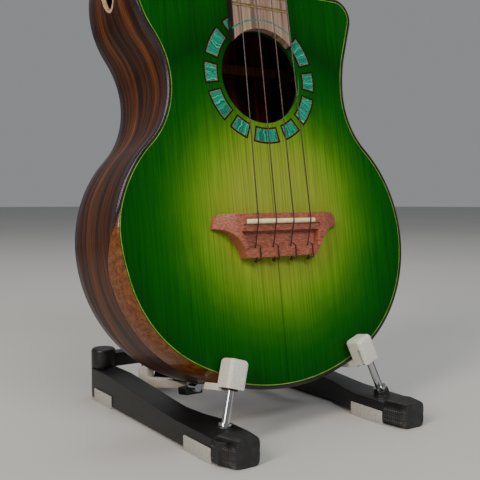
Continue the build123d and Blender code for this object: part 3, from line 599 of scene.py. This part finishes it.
dress(chrome, "tuner_bushes", "tuner_screws", *[f"string_post_{n}" for n in range(1, 5)])
rounded("tuner_cases", 0.5, chrome)
pearl, surface = finish("pearl_plastic", roughness=0.25, coat_weight=0.5)
swirl = add(pearl, "TexNoise",
    {"Vector": uke_place(pearl), "Scale": 0.3, "Detail": 3.0, "Distortion": 1.5}).outputs[0]
colour_and_bump(pearl, surface,
    add(pearl, "ValToRGB", {0: swirl}, stops=[(0.35, "#b5b0a2"), (0.65, "#e2ded2")]).outputs[0])
dress(pearl, *[f"tuner_button_{n}" for n in range(1, 5)])

# ---------------------------------------------------------------- stand legs, grips and feet
# Two hollow black plastic legs with a fine woven-look texture, their front ends sleeved in knurled
# rubber, standing on pale rubber pads.
black_plastic, surface = finish("moulded_black_plastic", roughness=0.42)
place = add(black_plastic, "TexCoord").outputs["Object"]
weave = add(black_plastic, "TexChecker",
    {"Vector": add(black_plastic, "Mapping", {"Vector": place, "Rotation": (0.0, 0.0, 0.785)}).outputs[0],
                                          "Scale": 420.0, "Color1": linear("#0b0b0c"),
                                          "Color2": linear("#141415")})
cloud = add(black_plastic, "TexNoise", {"Vector": place, "Scale": 60.0, "Detail": 4.0}).outputs[0]
tint = add(black_plastic, "Mix", {0: 0.25, 6: weave.outputs[0], 7: cloud}, data_type="RGBA",
    blend_type="MULTIPLY").outputs[2]
colour_and_bump(black_plastic, surface, tint, weave.outputs[1], 0.00015, 0.3)
knurled, surface = finish("knurled_black_rubber", roughness=0.5)
dust = add(knurled, "TexNoise",
    {"Vector": add(knurled, "TexCoord").outputs["Object"], "Scale": 220.0, "Detail": 4.0}).outputs[0]
colour_and_bump(knurled, surface,
    add(knurled, "ValToRGB", {0: dust}, stops=[(0.35, "#101012"), (0.7, "#26262a")]).outputs[0], dust, 0.0002,
    0.4)
pad_rubber, surface = finish("grey_foot_rubber", roughness=0.65)
dust = add(pad_rubber, "TexNoise",
    {"Vector": add(pad_rubber, "TexCoord").outputs["Object"], "Scale": 1000.0, "Detail": 4.0}).outputs[0]
colour_and_bump(pad_rubber, surface,
    add(pad_rubber, "ValToRGB", {0: dust}, stops=[(0.3, "#8f8f8b"), (0.7, "#b4b3ae")]).outputs[0], dust,
    0.0001, 0.3)


ROUND_KNURLS, LONG_KNURLS, KNURL_DEEP = 28, 34, 0.07


def grip_mesh(name, side):
    """The sleeve on a leg's end: a rounded box in section, raised in small crossed diamonds."""
    low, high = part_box(f"{side}_leg_grip")
    rings, around = 44, 224
    points, faces = [], []
    for i in range(rings):
        along = i / (rings - 1)
        y = low.y + (high.y - low.y) * along
        ease = 1 - 0.16 * (1 - min(1.0, along * 4)) ** 2
        outer, inner = (low.x, high.x) if side == "left" else (high.x, low.x)
        outer += (1 if side == "left" else -1) * 0.0045 * (1 - along)
        inner += (-1 if side == "left" else 1) * 0.0032 * (1 - along)
        centre = Vector(((outer + inner) / 2, y, (low.z + high.z) / 2))
        wide, tall = abs(outer - inner) / 2 * ease, (high.z - low.z) / 2
        for k in range(around):
            turn = 2 * math.pi * k / around
            c, s = math.cos(turn), math.sin(turn)
            x = wide * math.copysign(abs(c) ** 0.4, c)
            z = tall * math.copysign(abs(s) ** 0.4, s)
            across, down = turn * ROUND_KNURLS, along * LONG_KNURLS
            knurl = math.sin(across + down) * math.sin(across - down)
            push = 1 - KNURL_DEEP * (0.5 - 0.5 * knurl)
            points.append(centre + Vector((x * push, 0, z * (push if s > -0.3 else 1))))
    for i in range(rings - 1):
        for k in range(around):
            a, b = i * around + k, i * around + (k + 1) % around
            faces.append((a, b, b + around, a + around))
    faces.append(tuple(range(around)))
    faces.append(tuple(range((rings - 1) * around, rings * around))[::-1])
    return shape(name, points, faces, Matrix.Identity(4), 50)


for side in ("left", "right"):
    rounded(f"{side}_leg", 1.6, black_plastic)
    new_piece(f"{side}_knurled_grip", grip_mesh(f"{side}_knurled_grip", side), knurled, f"{side}_leg",
        [f"{side}_leg_grip"])
    rounded(f"{side}_foot_pads", 0.8, pad_rubber)

# ---------------------------------------------------------------- hooks
# Each hook is a black plastic core in a soft off-white rubber cover, on a steel rod that swivels in the leg.
hook_rubber, surface = finish("off_white_hook_rubber", roughness=0.55, subsurface_weight=0.05)
dust = add(hook_rubber, "TexNoise",
    {"Vector": add(hook_rubber, "TexCoord").outputs["Object"], "Scale": 1000.0, "Detail": 4.0}).outputs[0]
colour_and_bump(hook_rubber, surface,
    add(hook_rubber, "ValToRGB", {0: dust}, stops=[(0.3, "#bdbbb2"), (0.7, "#dad8d0")]).outputs[0], dust,
    0.0001, 0.25)
for side in ("left", "right"):
    rounded(f"{side}_hook_cover", 1.5, hook_rubber, segments=4)
    dress(black_plastic, f"{side}_hook_core")
    dress(chrome, f"{side}_hook_rod", f"{side}_rod_collar")

# ---------------------------------------------------------------- crossbar, rear loops and back rest
# The crossbar carries the legs' hinge pins, two pale rubber loops with chrome noses behind the body, and
# a folding arm with two padded rests.
steel, surface = finish("plain_steel_pin", roughness=0.3, metallic=1.0)
haze = add(steel, "TexNoise",
    {"Vector": add(steel, "TexCoord").outputs["Object"], "Scale": 120.0, "Detail": 3.0}).outputs[0]
colour_and_bump(steel, surface,
    add(steel, "ValToRGB", {0: haze}, stops=[(0.3, "#77787a"), (0.7, "#97989a")]).outputs[0])
dress(steel, "hinge_pins")
dress(chrome, "chrome_noses")
dress(black_plastic, "hinge_caps", "back_rest_arm")
rounded("rear_crossbar", 1.0, black_plastic)
rounded("loop_brackets", 0.5, black_plastic)
rounded("nose_blocks", 0.8, black_plastic)
rounded("rear_loops", 0.7, hook_rubber)
rounded("back_rest_pads", 1.5, hook_rubber)

# ---------------------------------------------------------------- studio and camera
# A plain pale floor, soft lights on each side and above, and a camera low in front to the left.
floor_paint, surface = finish("pale_matt_floor", roughness=0.9)
haze = add(floor_paint, "TexNoise",
    {"Vector": add(floor_paint, "TexCoord").outputs["Object"], "Scale": 1.2, "Detail": 2.0}).outputs[0]
colour_and_bump(floor_paint, surface,
    add(floor_paint, "ValToRGB", {0: haze}, stops=[(0.3, "#b8b8b6"), (0.7, "#bebebc")]).outputs[0])
mesh = bpy.data.meshes.new("studio_floor")
mesh.from_pydata([(9 * math.cos(math.pi * k / 32), 9 * math.sin(math.pi * k / 32), 0) for k in range(64)], [],
    [tuple(range(64))])
mesh.materials.append(floor_paint)
floor = bpy.data.objects.new("studio_floor", mesh)
bpy.context.scene.collection.objects.link(floor)

world = bpy.data.worlds.new("studio")
world.use_nodes = True
world.node_tree.nodes["Background"].inputs[0].default_value = linear("#c9cbcd")
world.node_tree.nodes["Background"].inputs[1].default_value = 0.45
bpy.context.scene.world = world


def softbox(name, place, target, size, power, colour):
    data = bpy.data.lights.new(name, "AREA")
    data.shape, data.size, data.size_y = "RECTANGLE", size[0], size[1]
    data.energy, data.color = power, linear(colour)[:3]
    lamp = bpy.data.objects.new(name, data)
    lamp.location = place
    lamp.rotation_euler = (Vector(target) - Vector(place)).to_track_quat("-Z", "Y").to_euler()
    bpy.context.scene.collection.objects.link(lamp)


softbox("left_softbox", (-1.5, -0.55, 1.1), (0, 0, 0.25), (0.5, 1.2), 26, "#fff0dc")
softbox("front_softbox", (-0.3, -2.0, 1.5), (0, 0, 0.2), (1.2, 0.8), 30, "#ffffff")
softbox("top_softbox", (0.3, 0.4, 2.0), (0, 0, 0.2), (1.4, 1.4), 14, "#ffffff")

camera = bpy.data.objects.new("camera", bpy.data.cameras.new("camera"))
right = Vector((0.82997, -0.55781, -0.00004)).normalized()
back = Vector((-0.55680, -0.82847, 0.06003)).normalized()
right = (right - right.dot(back) * back).normalized()
up = back.cross(right)
camera.matrix_world = Matrix.Translation((-0.300567, -0.442080, 0.152913)) @ Matrix((right, up,
    back)).transposed().to_4x4()
camera.data.sensor_width = 36.0
camera.data.lens = 57.30
camera.data.clip_start = 0.02
bpy.context.scene.collection.objects.link(camera)
bpy.context.scene.camera = camera
